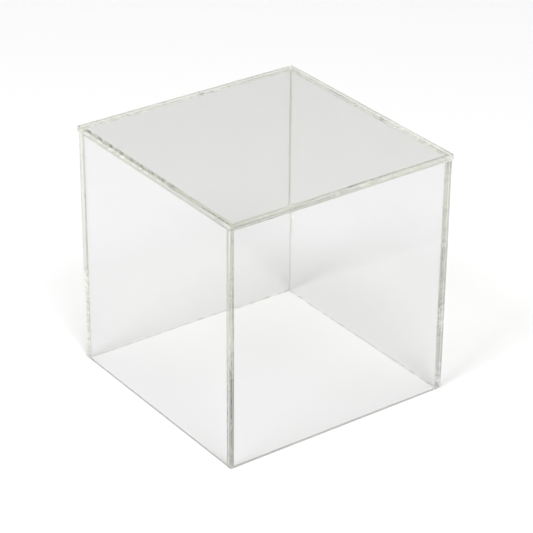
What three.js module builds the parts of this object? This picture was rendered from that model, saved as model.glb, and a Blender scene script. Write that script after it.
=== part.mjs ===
// Acrylic display cube: a five-sided clear cover, open underneath.
// Four upright walls stand in a square. The front and back walls run the full width and the
// left and right walls are butted between them. A slightly oversize top panel lies on all four.
// Thin films of cement join the panels: four upright corner seams and four seams under the top.
//
// Millimetres, +Z up. The origin is the centre of the square foot, on the surface it stands on.
// -Y is the front. One assembly of named meshes, each a closed solid.

import * as THREE from "three";

// Driving dimensions
const OUTER_WIDTH = 203.2;      // outside of the walls, both ways (8 in)
const SHEET = 4.76;             // thickness of every panel (3/16 in)
const WALL_HEIGHT = 200;        // height of the four walls
const TOP_OVERHANG = 0.8;       // how far the top panel stands proud of the walls, each side
const JOINT_GAP = 0.2;          // space between two panels that the cement fills
const CEMENT_CLEARANCE = 0.02;  // between a cement film and the acrylic on each side of it
const CEMENT_RECESS = 0.3;      // how far each film stops short of an open edge
const ARRIS = 0.25;             // small bevel along the edges of a wall
const TOP_ARRIS = 0.4;          // small bevel along the edges of the top panel

// Worked out from the driving dimensions
const TOP_WIDTH = OUTER_WIDTH + 2 * TOP_OVERHANG;
const SIDE_LENGTH = OUTER_WIDTH - 2 * (SHEET + JOINT_GAP);
const WALL_CENTRE = (OUTER_WIDTH - SHEET) / 2;
const CORNER_FILM_CENTRE = OUTER_WIDTH / 2 - SHEET - JOINT_GAP / 2;
const CORNER_FILM_HEIGHT = WALL_HEIGHT - 2 * CEMENT_RECESS;
const TOP_FILM_CENTRE = WALL_HEIGHT + JOINT_GAP / 2;
const TOP_CENTRE = WALL_HEIGHT + JOINT_GAP + SHEET / 2;
const FILM_THICKNESS = JOINT_GAP - 2 * CEMENT_CLEARANCE;
const FILM_WIDTH = SHEET - 2 * CEMENT_RECESS;
const QUARTER_TURN = Math.PI / 2;

function acrylic(name) {
  return new THREE.MeshStandardMaterial({
    name,
    color: 0xf1f3ee,
    roughness: 0.05,
    metalness: 0,
    transparent: true,
    opacity: 0.3,
  });
}

function cement(name) {
  return new THREE.MeshStandardMaterial({
    name,
    color: 0xe0e2d8,
    roughness: 0.3,
    metalness: 0,
    transparent: true,
    opacity: 0.6,
  });
}

// A flat sheet centred on the origin, with its broad faces towards +Z and -Z
// and a small bevel all round both of them.
function sheet(width, length, thickness, arris) {
  const x = width / 2 - arris;
  const y = length / 2 - arris;
  const outline = new THREE.Shape([
    new THREE.Vector2(-x, -y),
    new THREE.Vector2(x, -y),
    new THREE.Vector2(x, y),
    new THREE.Vector2(-x, y),
  ]);
  const geometry = new THREE.ExtrudeGeometry(outline, {
    depth: thickness - 2 * arris,
    bevelEnabled: true,
    bevelThickness: arris,
    bevelSize: arris,
    bevelSegments: 1,
    steps: 1,
  });
  geometry.translate(0, 0, arris - thickness / 2);
  return geometry;
}

function addMesh(parent, name, geometry, material) {
  const mesh = new THREE.Mesh(geometry, material);
  mesh.name = name;
  parent.add(mesh);
  return mesh;
}

// The top panel lies flat over the walls.
function addTopPanel(parent) {
  const geometry = sheet(TOP_WIDTH, TOP_WIDTH, SHEET, TOP_ARRIS);
  const mesh = addMesh(parent, "top_panel", geometry, acrylic("clear_acrylic_top"));
  mesh.position.z = TOP_CENTRE;
}

// A front or back wall stands across the Y axis, and side is -1 for the front, 1 for the back.
function addFullWall(parent, name, side) {
  const geometry = sheet(OUTER_WIDTH, WALL_HEIGHT, SHEET, ARRIS);
  const mesh = addMesh(parent, name, geometry, acrylic(`clear_acrylic_${name}`));
  mesh.rotation.x = QUARTER_TURN;
  mesh.position.set(0, side * WALL_CENTRE, WALL_HEIGHT / 2);
}

// A left or right wall stands across the X axis, between the front and back walls.
function addButtedWall(parent, name, side) {
  const geometry = sheet(WALL_HEIGHT, SIDE_LENGTH, SHEET, ARRIS);
  const mesh = addMesh(parent, name, geometry, acrylic(`clear_acrylic_${name}`));
  mesh.rotation.y = QUARTER_TURN;
  mesh.position.set(side * WALL_CENTRE, 0, WALL_HEIGHT / 2);
}

// An upright film at one corner, between a side wall's end and a full wall's inner face.
function addCornerSeam(parent, name, xSide, ySide) {
  const geometry = new THREE.BoxGeometry(FILM_WIDTH, FILM_THICKNESS, CORNER_FILM_HEIGHT);
  const mesh = addMesh(parent, name, geometry, cement(`cement_${name}`));
  mesh.position.set(xSide * WALL_CENTRE, ySide * CORNER_FILM_CENTRE, WALL_HEIGHT / 2);
}

// A flat film under the top panel, along the top edge of a full wall.
function addFullTopSeam(parent, name, side) {
  const length = OUTER_WIDTH - 2 * CEMENT_RECESS;
  const geometry = new THREE.BoxGeometry(length, FILM_WIDTH, FILM_THICKNESS);
  const mesh = addMesh(parent, name, geometry, cement(`cement_${name}`));
  mesh.position.set(0, side * WALL_CENTRE, TOP_FILM_CENTRE);
}

// A flat film under the top panel, along the top edge of a side wall.
function addButtedTopSeam(parent, name, side) {
  const length = SIDE_LENGTH - 2 * CEMENT_RECESS;
  const geometry = new THREE.BoxGeometry(FILM_WIDTH, length, FILM_THICKNESS);
  const mesh = addMesh(parent, name, geometry, cement(`cement_${name}`));
  mesh.position.set(side * WALL_CENTRE, 0, TOP_FILM_CENTRE);
}

function buildCube() {
  const cube = new THREE.Group();
  addTopPanel(cube);
  addFullWall(cube, "front_wall", -1);
  addFullWall(cube, "back_wall", 1);
  addButtedWall(cube, "left_wall", -1);
  addButtedWall(cube, "right_wall", 1);
  for (const [front, ySide] of [["front", -1], ["back", 1]]) {
    addFullTopSeam(cube, `${front}_top_seam`, ySide);
    for (const [left, xSide] of [["left", -1], ["right", 1]]) {
      addCornerSeam(cube, `${front}_${left}_seam`, xSide, ySide);
    }
  }
  addButtedTopSeam(cube, "left_top_seam", -1);
  addButtedTopSeam(cube, "right_top_seam", 1);
  return cube;
}

export default buildCube();
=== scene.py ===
import math
import random

import bmesh
import bpy
from mathutils import Matrix, Vector


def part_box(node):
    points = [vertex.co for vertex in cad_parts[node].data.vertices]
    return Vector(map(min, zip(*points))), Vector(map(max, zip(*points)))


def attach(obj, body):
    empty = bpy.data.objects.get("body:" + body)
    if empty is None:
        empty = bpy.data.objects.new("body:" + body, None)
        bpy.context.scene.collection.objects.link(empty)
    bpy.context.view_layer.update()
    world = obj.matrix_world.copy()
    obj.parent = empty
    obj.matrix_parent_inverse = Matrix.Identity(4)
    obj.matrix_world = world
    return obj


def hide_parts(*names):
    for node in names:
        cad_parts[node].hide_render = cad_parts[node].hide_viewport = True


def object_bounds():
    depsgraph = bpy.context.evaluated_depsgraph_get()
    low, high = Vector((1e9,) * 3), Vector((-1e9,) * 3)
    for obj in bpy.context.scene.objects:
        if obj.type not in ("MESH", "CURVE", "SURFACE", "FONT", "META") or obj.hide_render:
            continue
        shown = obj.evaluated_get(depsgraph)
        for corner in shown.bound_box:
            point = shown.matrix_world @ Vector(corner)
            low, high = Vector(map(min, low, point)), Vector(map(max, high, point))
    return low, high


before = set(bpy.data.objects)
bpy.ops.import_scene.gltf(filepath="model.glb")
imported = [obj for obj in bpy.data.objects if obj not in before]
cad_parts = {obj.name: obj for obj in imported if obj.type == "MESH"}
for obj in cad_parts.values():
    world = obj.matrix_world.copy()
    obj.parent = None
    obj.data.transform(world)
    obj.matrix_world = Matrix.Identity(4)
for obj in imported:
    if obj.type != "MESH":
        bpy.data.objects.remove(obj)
cad_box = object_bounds()

# ---------------------------------------------------------------- driving values, in metres

ARRIS = 0.00012                         # rounded edge of every panel
ARRIS_SEGMENTS = 2                      # flats that the rounding is made of
SPLIT_DISTANCE = 1e-7                   # a point nearer a cutting plane than this is on it
FACE_SLACK = 1e-5                       # allowed when a face's place is compared with a size
EDGE_ON = 0.5                           # a normal with less than this across the sheet is at its edge
FLAT_ON = 0.99                          # a normal with more than this along an axis points that way

# Clear acrylic as it is seen. Each tint is the share of light kept at a surface.
REFRACTIVE_INDEX = 1.49                 # cast acrylic
# The wall and lid tints are partly the acrylic's faint absorption and mostly painted shade: they
# darken all that is seen through the box, standing in for the shade on the table behind it.
WALL_TINT_AND_SHADE = (0.954, 0.956, 0.955)
LID_TINT_AND_SHADE = (0.966, 0.965, 0.959)
RIM_TINT = (0.91, 0.91, 0.90)           # at a wall's cut edges
LID_RIM_TINT = (0.87, 0.87, 0.86)       # at the top panel's cut edges
BODY_TINT = (0.62, 0.65, 0.30)          # colour of light that runs far inside a sheet
BODY_DENSITY = 0.07                     # how soon it takes that colour

# The share of light that gets through each kind of face on its way to and from a matt
# surface. These are set for brightness, and aren't properties of acrylic.
NEAR_PASS = (0.93, 0.93, 0.93)          # front and left walls
FAR_PASS = (1.0, 1.0, 1.0)              # back and right walls
LID_PASS = (0.915, 0.910, 0.897)
EDGE_PASS = (0.55, 0.55, 0.55)          # a wall's cut edges
LID_EDGE_PASS = (0.5, 0.5, 0.5)         # the top panel's cut edges
FOOT_PASS = (0.95, 0.95, 0.95)          # a wall's foot
JOINT_PASS = (0.7, 0.7, 0.7)            # a joint and the air in it
LIGHT_MIRROR = 0.35                     # how much of Fresnel's reflection that light gets

# Noise, as features per metre, and how many finer layers lie over them
SOFT_DETAIL = 2.0
WIPE_SCALE = 26.0                       # wipe marks on the polished faces
WIPE_DETAIL = 5.0
WIPE_STRETCH = (1.0, 0.35, 0.6)
WIPE_RANGE = (0.55, 0.8)                # of the noise, from no mark to a full one
WIPE_ROUGHNESS = 0.015

# Cut surfaces: roughness, scale of the tool marks, and the marks' depth
RIM_FINISH = (0.03, 900.0, 0.000002)
FOOT_FINISH = (0.08, 700.0, 0.000004)
LID_RIM_FINISH = (0.12, 900.0, 0.000006)
MARK_DETAIL = 4.0
PATCH_BREADTH = 5                       # patches are this many times as broad as the marks
PATCH_RANGE = (0.35, 0.65)
ROUGHNESS_SWING = (0.5, 1.5)            # times the roughness, from patch to patch
FROST_SWING = (0.7, 1.3)                # times the frost, from patch to patch
FROST_COLOUR = (0.93, 0.93, 0.90)
NEAR_FROST = 0.12                       # share of a near wall's foot that is matt
FAR_FROST = 0.6                         # share of a far wall's foot that is matt

# Joints
CEMENT_TINT = (0.988, 0.988, 0.988)     # at each face of a joint
CLOUDY_SEAMS = ("front_right_seam", "back_left_seam")
CLOUDY_TINT = (0.90, 0.90, 0.903)       # at each face of a cloudy seam's film
DRYNESS = ((0.0, 1.0), (0.36, 0.9), (0.48, 0.0), (0.92, 0.0), (0.98, 0.55))  # by share of height
DRY_HEIGHT_SHIFT = (-0.12, 0.16)        # added to the noise where dryness is 0, and where it is 1
DRY_EDGE = (0.0030, 0.0022)             # distances in from the outer faces, deep and shallow
DRY_EDGE_SHIFT = (-0.35, 0.08)          # added to the noise at those distances
DRY_REGION_SCALE = 45.0                 # broad noise
DRY_PATCH_SCALE = 420.0                 # fine noise that breaks it up
DRY_RANGE = (0.35, 0.38)                # of the two multiplied, from cemented to dry
DRY_TINTS = (0.62, 0.88)                # at the front left corner, and at the others
DRY_TINT_SPAN = (-0.15, -0.05)          # x + y, over which the first gives way to the second
DRY_ROUGHNESS = 0.25
FILM_STEP = 0.0025                      # between the points of a film's wandering edges
FILM_LEAST_STEPS = 8
FILM_WANDER = 0.0001

# Bubbles in the films
BUBBLES_PER_METRE = 500
BUBBLE_SIZES = (0.0002, 0.0010)         # half widths, before the shares below
BUBBLE_SHARES = (0.4, 1.0)
BUBBLE_SQUEEZE = 0.6                    # along and across the film
BUBBLE_THICKNESS = 0.42                 # of the film's, to each side
BUBBLE_STRETCH = (0.8, 2.2)             # along the seam
BUBBLE_DENTS = (0.1, 0.3)
BUBBLE_CLUSTERS = 5                     # in each seam
CLUSTERED_SHARE = 0.6                   # of the bubbles
CLUSTER_SPREAD = 0.035                  # of the seam's length
BUBBLE_SPAN = (0.01, 0.99)              # of the seam's length
SINK_POWER = 0.35                       # draws an upright seam's bubbles towards its foot
EDGE_POWER = 0.6                        # draws bubbles towards the film's long edges
HAZE_SCALE = 900.0
HAZE_RANGE = (0.4, 0.7)
HAZE_ROUGHNESS = 0.15

CAMERA_AZIMUTH = -36.12                 # degrees, 0 looks along +Y
CAMERA_ELEVATION = 28.40
CAMERA_ROLL = 0.48
CAMERA_LENS = 154.0                     # millimetres
SENSOR_WIDTH = 36.0                     # millimetres
CAMERA_DISTANCE = 1.782
CAMERA_AIM = Vector((0.0026, -0.0019, -0.0068))  # from the middle of the model's box
CAMERA_CLIP = (0.01, 100.0)

FLOOR_SIZE = 14.0
FLOOR_GAP = 0.0003                      # air under the cut ends of the walls
FLOOR_COLOUR = (0.86, 0.86, 0.86)
FLOOR_ROUGHNESS = 0.02
FLOOR_INDEX = 1.5

LAMP_AZIMUTHS = (-77, -19)              # degrees, counted as the camera's
LAMP_ELEVATION = 54
LAMP_DISTANCE = 8.0
LAMP_SIZE = 2.0
LAMP_POWER = 300
LAMP_AIM = Vector((0, 0, 0.1))
LIGHT_BOUNCES = 96                      # light piped along a sheet meets many faces

CARDS = ((36, 1.0), (216, 1.0), (144, -0.08))   # azimuth of each card, and brightness it adds
CARD_ELEVATION = 28
CARD_EDGE = (0.955, 0.975)              # cosine of the angle from its middle, outside and inside
SKY_STRENGTH = 1.01

# Brightness of the surroundings by the sine of the angle above the horizon: a white table,
# a darker room over it, and a white ceiling.
SKY = ((0.15, 1.0), (0.32, 0.42), (0.62, 0.38), (0.85, 0.6))

# The kinds of face on a panel and on a film, as places in its list of materials
POLISHED, CEMENTED, CUT_EDGE, FOOT = range(4)
AIR = 1


# ---------------------------------------------------------------- camera, floor and light

def direction(turn, height):
    """Azimuth is measured from the front wall's outward normal, both angles in degrees."""
    azimuth = math.radians(turn)
    elevation = math.radians(height)
    return Vector((
        math.sin(azimuth) * math.cos(elevation),
        -math.cos(azimuth) * math.cos(elevation),
        math.sin(elevation),
    ))


def make_camera():
    low, high = Vector(cad_box[0]), Vector(cad_box[1])
    aim = (low + high) / 2 + CAMERA_AIM
    towards = direction(CAMERA_AZIMUTH, CAMERA_ELEVATION)
    data = bpy.data.cameras.new("camera")
    data.lens = CAMERA_LENS
    data.sensor_width = SENSOR_WIDTH
    data.clip_start, data.clip_end = CAMERA_CLIP
    camera = bpy.data.objects.new("camera", data)
    bpy.context.scene.collection.objects.link(camera)
    turn = (-towards).to_track_quat("-Z", "Y").to_matrix().to_4x4()
    roll = Matrix.Rotation(math.radians(CAMERA_ROLL), 4, "Z")
    camera.matrix_world = Matrix.Translation(aim + towards * CAMERA_DISTANCE) @ turn @ roll
    bpy.context.scene.camera = camera


def new_material(name):
    material = bpy.data.materials.new(name)
    material.use_nodes = True
    material.node_tree.nodes.clear()
    return material, material.node_tree.nodes, material.node_tree.links


def make_floor():
    mesh = bpy.data.meshes.new("floor")
    build = bmesh.new()
    bmesh.ops.create_grid(build, x_segments=1, y_segments=1, size=FLOOR_SIZE / 2)
    build.to_mesh(mesh)
    build.free()
    floor = bpy.data.objects.new("floor", mesh)
    bpy.context.scene.collection.objects.link(floor)
    material, nodes, links = new_material("white_table")
    output = nodes.new("ShaderNodeOutputMaterial")
    shader = nodes.new("ShaderNodeBsdfPrincipled")
    shader.inputs["Base Color"].default_value = (*FLOOR_COLOUR, 1)
    shader.inputs["Roughness"].default_value = FLOOR_ROUGHNESS
    shader.inputs["IOR"].default_value = FLOOR_INDEX
    links.new(shader.outputs[0], output.inputs["Surface"])
    mesh.materials.append(material)
    floor.location.z = -FLOOR_GAP


def level_ramp(nodes, links, value, levels):
    """Grey levels read off a list of places and levels."""
    ramp = nodes.new("ShaderNodeValToRGB")
    links.new(value, ramp.inputs["Fac"])
    stops = ramp.color_ramp.elements
    while len(stops) < len(levels):
        stops.new(0.5)
    for stop, (place, level) in zip(stops, levels):
        stop.position = place
        stop.color = (level, level, level, 1)
    return ramp.outputs["Color"]


def make_world():
    """The surroundings, with light and dark cards standing round the table."""
    world = bpy.data.worlds.new("studio")
    bpy.context.scene.world = world
    world.use_nodes = True
    nodes, links = world.node_tree.nodes, world.node_tree.links
    nodes.clear()
    output = nodes.new("ShaderNodeOutputWorld")
    background = nodes.new("ShaderNodeBackground")
    place = nodes.new("ShaderNodeTexCoord")
    split = nodes.new("ShaderNodeSeparateXYZ")
    links.new(place.outputs["Generated"], split.inputs[0])
    level = level_ramp(nodes, links, split.outputs["Z"], SKY)
    for turn, card_level in CARDS:
        nearness = nodes.new("ShaderNodeVectorMath")
        nearness.operation = "DOT_PRODUCT"
        nearness.inputs[1].default_value = direction(turn, CARD_ELEVATION)
        links.new(place.outputs["Generated"], nearness.inputs[0])
        card = spread(nodes, links, nearness.outputs["Value"], CARD_EDGE, (0.0, card_level))
        level = arithmetic(nodes, links, "ADD", level, card)
    links.new(level, background.inputs["Color"])
    background.inputs["Strength"].default_value = SKY_STRENGTH
    links.new(background.outputs[0], output.inputs["Surface"])


def make_lamps():
    """Two softboxes over the viewer's shoulders."""
    for name, turn in zip(("left_softbox", "right_softbox"), LAMP_AZIMUTHS):
        data = bpy.data.lights.new(name, "AREA")
        data.shape = "SQUARE"
        data.size = LAMP_SIZE
        data.energy = LAMP_POWER
        lamp = bpy.data.objects.new(name, data)
        bpy.context.scene.collection.objects.link(lamp)
        lamp.location = LAMP_DISTANCE * direction(turn, LAMP_ELEVATION)
        lamp.rotation_euler = (LAMP_AIM - lamp.location).to_track_quat("-Z", "Y").to_euler()


def set_light_paths():
    """Plain colours, and enough bounces for light to cross every sheet."""
    scene = bpy.context.scene
    scene.view_settings.view_transform = "Standard"
    scene.cycles.max_bounces = LIGHT_BOUNCES
    scene.cycles.transmission_bounces = LIGHT_BOUNCES
    scene.cycles.glossy_bounces = LIGHT_BOUNCES
    scene.cycles.transparent_max_bounces = LIGHT_BOUNCES


# ---------------------------------------------------------------- shader helpers

def arithmetic(nodes, links, operation, first, second):
    """Each of the two is a number or another node's output."""
    result = nodes.new("ShaderNodeMath")
    result.operation = operation
    for place, value in enumerate((first, second)):
        if isinstance(value, float):
            result.inputs[place].default_value = value
        else:
            links.new(value, result.inputs[place])
    return result.outputs[0]


def spread(nodes, links, value, from_range, to_range):
    """Maps a value from one range to another, held at the ends."""
    change = nodes.new("ShaderNodeMapRange")
    change.inputs["From Min"].default_value = from_range[0]
    change.inputs["From Max"].default_value = from_range[1]
    change.inputs["To Min"].default_value = to_range[0]
    change.inputs["To Max"].default_value = to_range[1]
    links.new(value, change.inputs["Value"])
    return change.outputs[0]


def noise(nodes, links, scale, detail, stretch=(1, 1, 1)):
    """Noise in the model's own space, with its grain drawn out along an axis by stretch."""
    place = nodes.new("ShaderNodeTexCoord")
    mapping = nodes.new("ShaderNodeMapping")
    mapping.inputs["Scale"].default_value = stretch
    texture = nodes.new("ShaderNodeTexNoise")
    texture.inputs["Scale"].default_value = scale
    texture.inputs["Detail"].default_value = detail
    links.new(place.outputs["Object"], mapping.inputs["Vector"])
    links.new(mapping.outputs[0], texture.inputs["Vector"])
    return texture.outputs["Fac"]


def model_place(nodes, links):
    """The X, Y and Z of the point being shaded, in the model's own space."""
    place = nodes.new("ShaderNodeTexCoord")
    split = nodes.new("ShaderNodeSeparateXYZ")
    links.new(place.outputs["Object"], split.inputs[0])
    return split.outputs


def mix_shaders(nodes, links, share, first, second):
    mix = nodes.new("ShaderNodeMixShader")
    links.new(share, mix.inputs[0])
    links.new(first, mix.inputs[1])
    links.new(second, mix.inputs[2])
    return mix.outputs[0]


def light_ray(nodes, links):
    """1 for a shadow or diffuse ray, which carries light to and from matt surfaces."""
    path = nodes.new("ShaderNodeLightPath")
    shadow, diffuse = path.outputs["Is Shadow Ray"], path.outputs["Is Diffuse Ray"]
    return arithmetic(nodes, links, "MAXIMUM", shadow, diffuse)


def mirror_share(nodes, links):
    """The share of a light ray that a face throws back. The ray isn't bent inside the sheet,
    so Fresnel's index is turned over on faces met from within."""
    geometry = nodes.new("ShaderNodeNewGeometry")
    indices = (REFRACTIVE_INDEX, 1 / REFRACTIVE_INDEX)
    index = spread(nodes, links, geometry.outputs["Backfacing"], (0.0, 1.0), indices)
    fresnel = nodes.new("ShaderNodeFresnel")
    links.new(index, fresnel.inputs["IOR"])
    return spread(nodes, links, fresnel.outputs[0], (0.0, 1.0), (0.0, LIGHT_MIRROR))


def light_ray_split(nodes, links, seen, gloss, pass_share):
    """What is seen, and for light rays a mirror or a clear surface by Fresnel's law."""
    light = light_ray(nodes, links)
    passed = arithmetic(nodes, links, "SUBTRACT", 1.0, mirror_share(nodes, links))
    share = arithmetic(nodes, links, "MULTIPLY", light, passed)
    solid = mix_shaders(nodes, links, light, seen, gloss.outputs[0])
    clear = nodes.new("ShaderNodeBsdfTransparent")
    clear.inputs["Color"].default_value = (*pass_share, 1)
    return mix_shaders(nodes, links, share, solid, clear.outputs[0])


def glass_shader(nodes, links, tint, roughness):
    """Refraction that takes the tint and reflection that doesn't, so light piped along the
    sheet by total reflection keeps its strength."""
    fresnel = nodes.new("ShaderNodeFresnel")
    fresnel.inputs["IOR"].default_value = REFRACTIVE_INDEX
    refraction = nodes.new("ShaderNodeBsdfRefraction")
    refraction.inputs["Color"].default_value = (*tint, 1)
    refraction.inputs["IOR"].default_value = REFRACTIVE_INDEX
    gloss = nodes.new("ShaderNodeBsdfGlossy")
    gloss.inputs["Color"].default_value = (1, 1, 1, 1)
    for shader in (refraction, gloss):
        shader.inputs["Roughness"].default_value = roughness
    glass = mix_shaders(nodes, links, fresnel.outputs[0], refraction.outputs[0], gloss.outputs[0])
    return glass, refraction, gloss, fresnel


def finish_material(nodes, links, surface):
    """Joins up a panel's surface, and the colour that its body gives to light."""
    output = nodes.new("ShaderNodeOutputMaterial")
    links.new(surface, output.inputs["Surface"])
    absorb = nodes.new("ShaderNodeVolumeAbsorption")
    absorb.inputs["Color"].default_value = (*BODY_TINT, 1)
    absorb.inputs["Density"].default_value = BODY_DENSITY
    links.new(absorb.outputs[0], output.inputs["Volume"])


# ---------------------------------------------------------------- materials

def polished_face(name, tint, pass_share):
    """The sheet's own cast surface: clear, with wipe marks that only its shine shows."""
    material, nodes, links = new_material(name)
    glass, _, gloss, _ = glass_shader(nodes, links, tint, 0.0)
    wipes = noise(nodes, links, WIPE_SCALE, WIPE_DETAIL, WIPE_STRETCH)
    blur = spread(nodes, links, wipes, WIPE_RANGE, (0.0, WIPE_ROUGHNESS))
    links.new(blur, gloss.inputs["Roughness"])
    finish_material(nodes, links, light_ray_split(nodes, links, glass, gloss, pass_share))
    return material


def cut_edge(name, tint, finish, frost, pass_share):
    """The sheet's cut rim: tool marks across it, and frost where it was left as sawn."""
    roughness, marks, mark_depth = finish
    material, nodes, links = new_material(name)
    glass, refraction, gloss, fresnel = glass_shader(nodes, links, tint, roughness)
    bump = nodes.new("ShaderNodeBump")
    bump.inputs["Strength"].default_value = 1.0
    bump.inputs["Distance"].default_value = mark_depth
    links.new(noise(nodes, links, marks, MARK_DETAIL), bump.inputs["Height"])
    for shader in (refraction, gloss, fresnel):
        links.new(bump.outputs[0], shader.inputs["Normal"])
    patch = noise(nodes, links, marks / PATCH_BREADTH, SOFT_DETAIL)
    swing = [roughness * times for times in ROUGHNESS_SWING]
    blur = spread(nodes, links, patch, PATCH_RANGE, swing)
    links.new(blur, refraction.inputs["Roughness"])
    links.new(blur, gloss.inputs["Roughness"])
    seen = glass
    if frost > 0:
        lit = nodes.new("ShaderNodeBsdfDiffuse")
        lit.inputs["Color"].default_value = (*FROST_COLOUR, 1)
        share = spread(nodes, links, patch, PATCH_RANGE, [frost * times for times in FROST_SWING])
        seen = mix_shaders(nodes, links, share, glass, lit.outputs[0])
    finish_material(nodes, links, light_ray_split(nodes, links, seen, gloss, pass_share))
    return material


def straight_through(nodes, links, tint):
    """A bonded surface: light goes straight on, and light rays lose the joint's own share."""
    clear = nodes.new("ShaderNodeBsdfTransparent")
    colour = nodes.new("ShaderNodeMix")
    colour.data_type = "RGBA"
    colour.inputs["A"].default_value = (*tint, 1)
    colour.inputs["B"].default_value = (*JOINT_PASS, 1)
    links.new(light_ray(nodes, links), colour.inputs["Factor"])
    links.new(colour.outputs["Result"], clear.inputs["Color"])
    return clear.outputs[0]


def cement_film(name, tint):
    material, nodes, links = new_material(name)
    output = nodes.new("ShaderNodeOutputMaterial")
    links.new(straight_through(nodes, links, tint), output.inputs["Surface"])
    return material


def edge_shift(nodes, links):
    """Runs between the two dry edge shifts, by how far in from the cube's outer faces it is."""
    place = model_place(nodes, links)
    across = arithmetic(nodes, links, "ABSOLUTE", place["X"], 0.0)
    along = arithmetic(nodes, links, "ABSOLUTE", place["Y"], 0.0)
    outward = arithmetic(nodes, links, "MAXIMUM", across, along)
    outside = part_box("front_wall")[1].x
    reach = [outside - distance for distance in DRY_EDGE]
    return spread(nodes, links, outward, reach, DRY_EDGE_SHIFT)


def dry_mask(nodes, links):
    """1 where the cement missed the joint, mostly low down and close to the outer faces."""
    wall_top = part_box("front_wall")[1].z
    height = spread(nodes, links, model_place(nodes, links)["Z"], (0.0, wall_top), (0.0, 1.0))
    dryness = level_ramp(nodes, links, height, DRYNESS)
    height_shift = spread(nodes, links, dryness, (0.0, 1.0), DRY_HEIGHT_SHIFT)
    region = noise(nodes, links, DRY_REGION_SCALE, SOFT_DETAIL)
    shifted = arithmetic(nodes, links, "ADD", region, height_shift)
    shifted = arithmetic(nodes, links, "ADD", shifted, edge_shift(nodes, links))
    fine = noise(nodes, links, DRY_PATCH_SCALE, SOFT_DETAIL)
    broken = arithmetic(nodes, links, "MULTIPLY", shifted, fine)
    return spread(nodes, links, broken, DRY_RANGE, (0.0, 1.0))


def cemented_face(name, tint):
    """A panel's bonded face. In its dry patches it is plain acrylic against a pocket of air,
    which light rays pass as they pass the rest of the joint."""
    material, nodes, links = new_material(name)
    output = nodes.new("ShaderNodeOutputMaterial")
    glass, refraction, _, _ = glass_shader(nodes, links, WALL_TINT_AND_SHADE, DRY_ROUGHNESS)
    place = model_place(nodes, links)
    diagonal = arithmetic(nodes, links, "ADD", place["X"], place["Y"])
    dry_tint = spread(nodes, links, diagonal, DRY_TINT_SPAN, DRY_TINTS)
    links.new(dry_tint, refraction.inputs["Color"])
    looked_at = arithmetic(nodes, links, "SUBTRACT", 1.0, light_ray(nodes, links))
    share = arithmetic(nodes, links, "MULTIPLY", dry_mask(nodes, links), looked_at)
    bonded = straight_through(nodes, links, tint)
    links.new(mix_shaders(nodes, links, share, bonded, glass), output.inputs["Surface"])
    return material


def trapped_air():
    """A bubble in the cement: the acrylic's surface seen from inside the acrylic."""
    material, nodes, links = new_material("trapped_air")
    output = nodes.new("ShaderNodeOutputMaterial")
    glass = nodes.new("ShaderNodeBsdfGlass")
    glass.inputs["IOR"].default_value = 1 / REFRACTIVE_INDEX
    haze = noise(nodes, links, HAZE_SCALE, SOFT_DETAIL)
    blur = spread(nodes, links, haze, HAZE_RANGE, (0.0, HAZE_ROUGHNESS))
    links.new(blur, glass.inputs["Roughness"])
    clear = nodes.new("ShaderNodeBsdfTransparent")
    clear.inputs["Color"].default_value = (*JOINT_PASS, 1)
    light = light_ray(nodes, links)
    surface = mix_shaders(nodes, links, light, glass.outputs[0], clear.outputs[0])
    links.new(surface, output.inputs["Surface"])
    return material


# ---------------------------------------------------------------- panels

def link_piece(name, build, materials, node):
    """Makes the piece that stands for a CAD node."""
    mesh = bpy.data.meshes.new(name)
    build.to_mesh(mesh)
    build.free()
    for material in materials:
        mesh.materials.append(material)
    piece = bpy.data.objects.new(name, mesh)
    bpy.context.scene.collection.objects.link(piece)
    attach(piece, "root")
    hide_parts(node)


def panel_solid(node, cuts):
    """A plate that fills the CAD node's box, with rounded edges, split along the joint lines."""
    low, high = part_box(node)
    build = bmesh.new()
    bmesh.ops.create_cube(build, size=1.0)
    for vertex in build.verts:
        for axis in range(3):
            vertex.co[axis] = high[axis] if vertex.co[axis] > 0 else low[axis]
    rims = build.edges[:]
    bmesh.ops.bevel(
        build, geom=rims, offset=ARRIS, segments=ARRIS_SEGMENTS, profile=0.5, affect="EDGES"
    )
    for axis, value in cuts:
        normal = Vector((0, 0, 0))
        normal[axis] = 1
        geometry = build.verts[:] + build.edges[:] + build.faces[:]
        bmesh.ops.bisect_plane(
            build, geom=geometry, plane_co=normal * value, plane_no=normal, dist=SPLIT_DISTANCE
        )
    bmesh.ops.recalc_face_normals(build, faces=build.faces[:])
    return build


def mark_faces(build, node, is_cemented):
    """Gives each face its kind."""
    low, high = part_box(node)
    size = high - low
    thin = min(range(3), key=lambda axis: size[axis])
    for face in build.faces:
        face.material_index = POLISHED
        if abs(face.normal[thin]) < EDGE_ON:
            face.material_index = CUT_EDGE
            if face.normal.z < -FLAT_ON:
                face.material_index = FOOT
        if is_cemented(face.calc_center_median(), face.normal):
            face.material_index = CEMENTED


def wall_materials(side, joint, frost, pass_share):
    """A material for each kind of face on a wall, in the order of the kinds."""
    return [
        polished_face("clear_acrylic_" + side, WALL_TINT_AND_SHADE, pass_share),
        joint,
        cut_edge("cut_edge_" + side, RIM_TINT, RIM_FINISH, 0.0, EDGE_PASS),
        cut_edge("sawn_foot_" + side, WALL_TINT_AND_SHADE, FOOT_FINISH, frost, FOOT_PASS),
    ]


def on_wall_top(centre, normal):
    return abs(normal.z) > FLAT_ON and centre.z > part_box("front_wall")[1].z - FACE_SLACK


def make_side_walls(near_materials, far_materials):
    """The left and right walls are cemented along their tops and at both ends."""
    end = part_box("left_wall")[1].y
    for node, materials in (("left_wall", near_materials), ("right_wall", far_materials)):
        build = panel_solid(node, [])
        mark_faces(
            build,
            node,
            lambda centre, normal: on_wall_top(centre, normal)
            or abs(normal.y) > FLAT_ON and abs(centre.y) > end - FACE_SLACK,
        )
        link_piece(node + "_sheet", build, materials, node)


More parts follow.
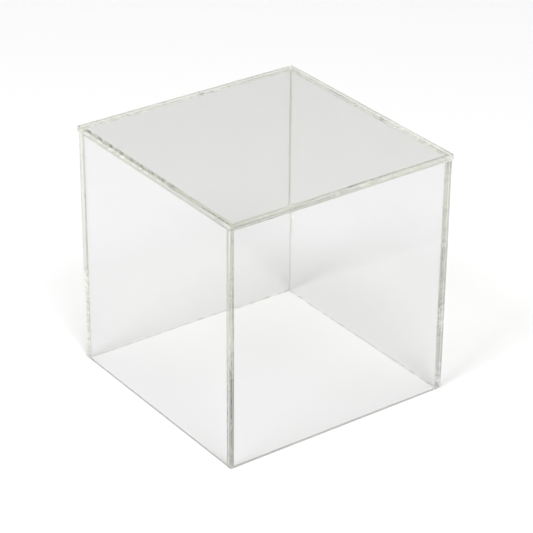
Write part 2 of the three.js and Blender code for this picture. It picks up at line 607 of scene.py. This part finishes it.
def make_full_walls(near_materials, far_materials, inner):
    """The front and back walls are cemented along their tops and where the side walls meet them."""
    for node, materials in (("front_wall", near_materials), ("back_wall", far_materials)):
        low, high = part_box(node)
        inner_y = high.y if node == "front_wall" else low.y
        build = panel_solid(node, [(0, inner), (0, -inner)])
        mark_faces(
            build,
            node,
            lambda centre, normal: on_wall_top(centre, normal)
            or abs(normal.y) > FLAT_ON
            and abs(centre.y - inner_y) < FACE_SLACK
            and abs(centre.x) > abs(inner),
        )
        link_piece(node + "_sheet", build, materials, node)


def make_lid(joint, inner):
    """The top panel is cemented in a square band over the walls."""
    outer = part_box("front_wall")[1].x
    values = [sign * value for sign in (-1, 1) for value in (outer, abs(inner))]
    build = panel_solid("top_panel", [(axis, value) for axis in (0, 1) for value in values])
    mark_faces(
        build,
        "top_panel",
        lambda centre, normal: normal.z < -FLAT_ON
        and abs(inner) < max(abs(centre.x), abs(centre.y)) < outer,
    )
    face = polished_face("clear_lid", LID_TINT_AND_SHADE, LID_PASS)
    rim = cut_edge("lid_edge", LID_RIM_TINT, LID_RIM_FINISH, 0.0, LID_EDGE_PASS)
    link_piece("top_panel_sheet", build, [face, joint, rim], "top_panel")


def make_panels():
    joint = cemented_face("cemented_face", CEMENT_TINT)
    near_materials = wall_materials("near", joint, NEAR_FROST, NEAR_PASS)
    far_materials = wall_materials("far", joint, FAR_FROST, FAR_PASS)
    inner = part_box("left_wall")[1].x
    make_side_walls(near_materials, far_materials)
    make_full_walls(near_materials, far_materials, inner)
    make_lid(joint, inner)


# ---------------------------------------------------------------- cement films

def wobble(random_source, count, size):
    """Smooth random offsets along a seam's length."""
    values = [random_source.uniform(-size, size) for step in range(count + 2)]
    return [(values[i] + 2 * values[i + 1] + values[i + 2]) / 4 for i in range(count)]


def film_solid(low, high, random_source):
    """A thin film of cement whose two long edges wander, as it stopped where it ran dry."""
    size = high - low
    thin, wide, long = sorted(range(3), key=lambda axis: size[axis])
    steps = max(FILM_LEAST_STEPS, round(size[long] / FILM_STEP))
    near = wobble(random_source, steps + 1, FILM_WANDER)
    far = wobble(random_source, steps + 1, FILM_WANDER)
    build = bmesh.new()
    rings = []
    for step in range(steps + 1):
        ring = []
        for side, depth in ((0, 0), (1, 0), (1, 1), (0, 1)):
            place = Vector((0, 0, 0))
            place[long] = low[long] + size[long] * step / steps
            if side == 0:
                place[wide] = low[wide] + FILM_WANDER + near[step]
            else:
                place[wide] = high[wide] - FILM_WANDER - far[step]
            place[thin] = high[thin] if depth else low[thin]
            ring.append(build.verts.new(place))
        rings.append(ring)
    for first, second in zip(rings, rings[1:]):
        for corner in range(4):
            after = (corner + 1) % 4
            build.faces.new((first[corner], first[after], second[after], second[corner]))
    build.faces.new(rings[0])
    build.faces.new(rings[-1])
    bmesh.ops.recalc_face_normals(build, faces=build.faces[:])
    return build, (thin, wide, long)


def add_bubble(build, centre, half, stretch, axes, film_thickness, random_source):
    """One flat bubble with an uneven outline."""
    thin, wide, long = axes
    verts = bmesh.ops.create_icosphere(build, subdivisions=2, radius=1.0)["verts"]
    turn = random_source.uniform(0, math.pi)
    dent = random_source.uniform(*BUBBLE_DENTS)
    for vertex in verts:
        angle = math.atan2(vertex.co.y, vertex.co.x)
        bulge = 1 + dent * math.sin(2 * angle + turn) + dent / 2 * math.sin(3 * angle - turn)
        point = Vector((0, 0, 0))
        point[long] = vertex.co.x * half * stretch * bulge * BUBBLE_SQUEEZE
        point[wide] = vertex.co.y * half * bulge * BUBBLE_SQUEEZE
        point[thin] = vertex.co.z * film_thickness * BUBBLE_THICKNESS
        vertex.co = centre + point
    for face in {face for vertex in verts for face in vertex.link_faces}:
        face.material_index = AIR
        face.smooth = True


def add_bubbles(build, low, high, axes, random_source):
    """Bubbles inside the film, thickest in clusters."""
    thin, wide, long = axes
    size = high - low
    clusters = [random_source.random() for cluster in range(BUBBLE_CLUSTERS)]
    for bubble in range(round(size[long] * BUBBLES_PER_METRE)):
        centre = (low + high) / 2
        if random_source.random() < CLUSTERED_SHARE:
            along = random_source.choice(clusters) + random_source.gauss(0, CLUSTER_SPREAD)
        else:
            along = random_source.random()
        if long == 2:
            along *= random_source.random() ** SINK_POWER
        along = min(max(along, BUBBLE_SPAN[0]), BUBBLE_SPAN[1])
        half = random_source.uniform(*BUBBLE_SIZES) * random_source.uniform(*BUBBLE_SHARES)
        reach = size[wide] / 2 - FILM_WANDER * 2 - half
        stretch = random_source.uniform(*BUBBLE_STRETCH)
        centre[long] = low[long] + size[long] * along
        centre[long] = min(max(centre[long], low[long] + 2 * half), high[long] - 2 * half)
        edge_ward = random_source.uniform(-1, 1)
        centre[wide] += reach * math.copysign(abs(edge_ward) ** EDGE_POWER, edge_ward)
        add_bubble(build, centre, half, stretch, axes, size[thin], random_source)


def make_seams():
    air = trapped_air()
    clear_film = cement_film("clear_cement", CEMENT_TINT)
    cloudy_film = cement_film("cloudy_cement", CLOUDY_TINT)
    for seed, node in enumerate(sorted(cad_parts)):
        if not node.endswith("_seam"):
            continue
        random_source = random.Random(seed)
        low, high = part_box(node)
        build, axes = film_solid(low, high, random_source)
        add_bubbles(build, low, high, axes, random_source)
        film = cloudy_film if node in CLOUDY_SEAMS else clear_film
        link_piece(node + "_film", build, [film, air], node)


make_camera()
make_floor()
make_world()
make_lamps()
set_light_paths()
make_panels()
make_seams()
